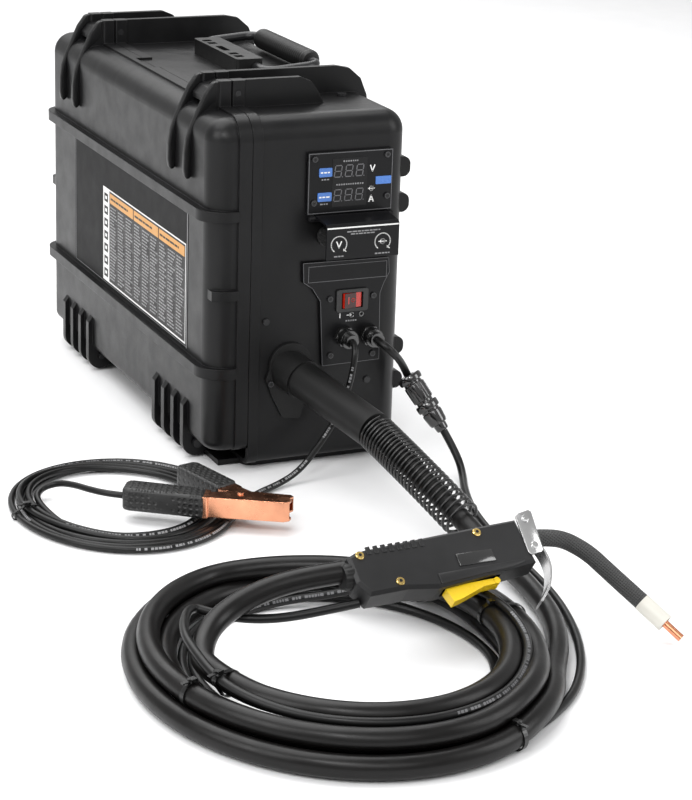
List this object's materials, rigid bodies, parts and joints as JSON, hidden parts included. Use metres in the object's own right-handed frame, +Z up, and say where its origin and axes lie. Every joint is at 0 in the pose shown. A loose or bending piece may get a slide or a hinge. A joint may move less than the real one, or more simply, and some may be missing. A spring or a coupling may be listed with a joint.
{
  "type": "portable wire feeder",
  "caption": "Suitcase-type portable MIG wire feeder with a hinged ribbed case, control panel, wire spool and drive, welding gun on a coiled cable, and a clamp lead.",
  "frame": {"origin": "on the floor under the centre of the case, on the underside of its skid", "axes": "+Z up, -Y towards the control panel, -X towards the hinged door"},
  "size_m": [0.492, 1.23, 0.394],
  "materials": {
    "case_plastic": "satin moulded black polypropylene",
    "seal_rubber": "soft black seal",
    "dark_steel": "black oxide steel",
    "grip_plastic": "satin black",
    "panel_plastic": "satin black powder coat",
    "window_plastic": "smoked window",
    "indicator_blue": "blue label window",
    "knob_plastic": "black",
    "rocker_red": "red translucent rocker",
    "gland_plastic": "glossy black nylon",
    "flange_plastic": "matt black",
    "chassis_paint": "grey painted sheet",
    "hub_plastic": "black nylon",
    "spool_plastic": "black spool",
    "weld_wire": "copper coated steel wire, layer wound",
    "drive_metal": "die cast",
    "motor_paint": "black motor",
    "roll_steel": "steel",
    "tension_plastic": "black",
    "guide_brass": "turned brass",
    "board_green": "circuit board",
    "contactor_plastic": "black",
    "relief_rubber": "matt black moulded rubber",
    "cable_rubber": "satin black cable jacket",
    "gun_plastic": "charcoal moulded nylon",
    "trigger_yellow": "yellow trigger",
    "screw_brass": "brass screw",
    "bracket_steel": "bright steel",
    "sleeve_fabric": "braided black sleeve",
    "nozzle_white": "white insulator",
    "tip_copper": "copper tip",
    "clamp_copper": "copper plated steel jaws, black grips"
  },
  "bodies": {
    "root": {"base_shell": "case_plastic", "bottom_skid": "case_plastic", "chassis_plate": "chassis_paint", "clamp_lower": "clamp_copper", "contact_tip": "tip_copper", "contactor": "contactor_plastic", "control_board": "board_green", "control_connector": "gland_plastic", "control_gland": "gland_plastic", "control_lead": "cable_rubber", "cover_hinge_pin": "dark_steel", "display_window": "window_plastic", "drive_housing": "drive_metal", "drive_motor": "motor_paint", "gas_fitting": "guide_brass", "gas_valve": "guide_brass", "gooseneck": "sleeve_fabric", "gun_bracket": "bracket_steel", "gun_cable": "cable_rubber", "gun_coil": "cable_rubber", "gun_handle": "gun_plastic", "gun_inlet": "flange_plastic", "gun_nozzle": "nozzle_white", "gun_screws": "screw_brass", "handle_bracket": "grip_plastic", "indicator_lights": "indicator_blue", "latch_pins": "dark_steel", "lid_hinge_pins": "dark_steel", "meter_panel": "panel_plastic", "panel_screws": "dark_steel", "relief_spring": "roll_steel", "rocker_bezel": "knob_plastic", "sense_coil": "cable_rubber", "sense_gland": "gland_plastic", "sense_lead": "cable_rubber", "spool_hub": "hub_plastic", "spool_nut": "hub_plastic", "strain_relief": "relief_rubber", "switch_plate": "panel_plastic", "trigger_lead": "cable_rubber", "weld_connector": "guide_brass", "wire_guides": "guide_brass"},
    "lid": {"lid_shell": "case_plastic", "lid_seal": "seal_rubber"},
    "front_latch": {"front_latch": "case_plastic"},
    "rear_latch": {"rear_latch": "case_plastic"},
    "handle": {"carry_handle": "dark_steel", "handle_grip": "grip_plastic"},
    "knob_cover": {"knob_cover": "panel_plastic"},
    "voltage_knob": {"voltage_knob": "knob_plastic"},
    "wire_speed_knob": {"wire_speed_knob": "knob_plastic"},
    "power_rocker": {"power_rocker": "rocker_red"},
    "spool": {"wire_spool": "spool_plastic", "wire_pack": "weld_wire"},
    "lower_roll": {"lower_drive_roll": "roll_steel"},
    "pressure_arm": {"pressure_arm": "drive_metal"},
    "upper_roll": {"upper_drive_roll": "roll_steel"},
    "tension_knob": {"tension_knob": "tension_plastic"},
    "trigger": {"gun_trigger": "trigger_yellow"},
    "clamp_jaw": {"clamp_upper": "clamp_copper"}
  },
  "joints": [
    {"name": "lid_hinge", "type": "hinge", "parent": "root", "child": "lid", "pos_m": [-0.096, 0, 0.017], "axis": [0, -1, 0], "range_deg": [0, 70]},
    {"name": "front_latch_hinge", "type": "hinge", "parent": "root", "child": "front_latch", "pos_m": [-0.058, -0.18, 0.381], "axis": [0, 1, 0], "range_deg": [0, 110]},
    {"name": "rear_latch_hinge", "type": "hinge", "parent": "root", "child": "rear_latch", "pos_m": [-0.058, 0.18, 0.381], "axis": [0, 1, 0], "range_deg": [0, 110]},
    {"name": "handle_swing", "type": "hinge", "parent": "root", "child": "handle", "pos_m": [0.026, 0.015, 0.374], "axis": [0, -1, 0], "range_deg": [0, 100]},
    {"name": "knob_cover_hinge", "type": "hinge", "parent": "root", "child": "knob_cover", "pos_m": [0.0415, -0.271, 0.2635], "axis": [-1, 0, 0], "range_deg": [0, 78]},
    {"name": "voltage_turn", "type": "hinge", "parent": "root", "child": "voltage_knob", "pos_m": [0.017, -0.276, 0.244], "axis": [0, -1, 0], "range_deg": [-135, 135]},
    {"name": "wire_speed_turn", "type": "hinge", "parent": "root", "child": "wire_speed_knob", "pos_m": [0.068, -0.276, 0.244], "axis": [0, -1, 0], "range_deg": [-135, 135]},
    {"name": "power_rocker_tilt", "type": "hinge", "parent": "root", "child": "power_rocker", "pos_m": [0.046, -0.266, 0.175], "axis": [0, 0, 1], "range_deg": [0, 16]},
    {"name": "spool_spin", "type": "hinge", "parent": "root", "child": "spool", "pos_m": [-0.042, 0.095, 0.202], "axis": [1, 0, 0], "continuous": true},
    {"name": "lower_roll_spin", "type": "hinge", "parent": "root", "child": "lower_roll", "pos_m": [-0.019, -0.17, 0.0899], "axis": [1, 0, 0], "continuous": true},
    {"name": "pressure_arm_lift", "type": "hinge", "parent": "root", "child": "pressure_arm", "pos_m": [-0.006, -0.203, 0.14], "axis": [1, 0, 0], "range_deg": [0, 45]},
    {"name": "upper_roll_spin", "type": "hinge", "parent": "pressure_arm", "child": "upper_roll", "pos_m": [-0.019, -0.17, 0.1301], "axis": [1, 0, 0], "continuous": true},
    {"name": "tension_turn", "type": "hinge", "parent": "pressure_arm", "child": "tension_knob", "pos_m": [-0.0075, -0.138, 0.165], "axis": [0, 0, 1], "range_deg": [-360, 360]},
    {"name": "trigger_pull", "type": "hinge", "parent": "root", "child": "trigger", "pos_m": [-0.02006, -0.72794, 0.05563], "axis": [-0.0217, 0.6016, -0.7985], "range_deg": [0, 6], "stiffness_Nm_per_rad": 0.4},
    {"name": "clamp_open", "type": "hinge", "parent": "root", "child": "clamp_jaw", "pos_m": [-0.125, -0.402, 0.024], "axis": [0, 0, 1], "range_deg": [0, 15], "stiffness_Nm_per_rad": 2}
  ],
  "couplings": [
    {"joint": "upper_roll_spin", "follows": "lower_roll_spin", "ratio": -1}
  ]
}
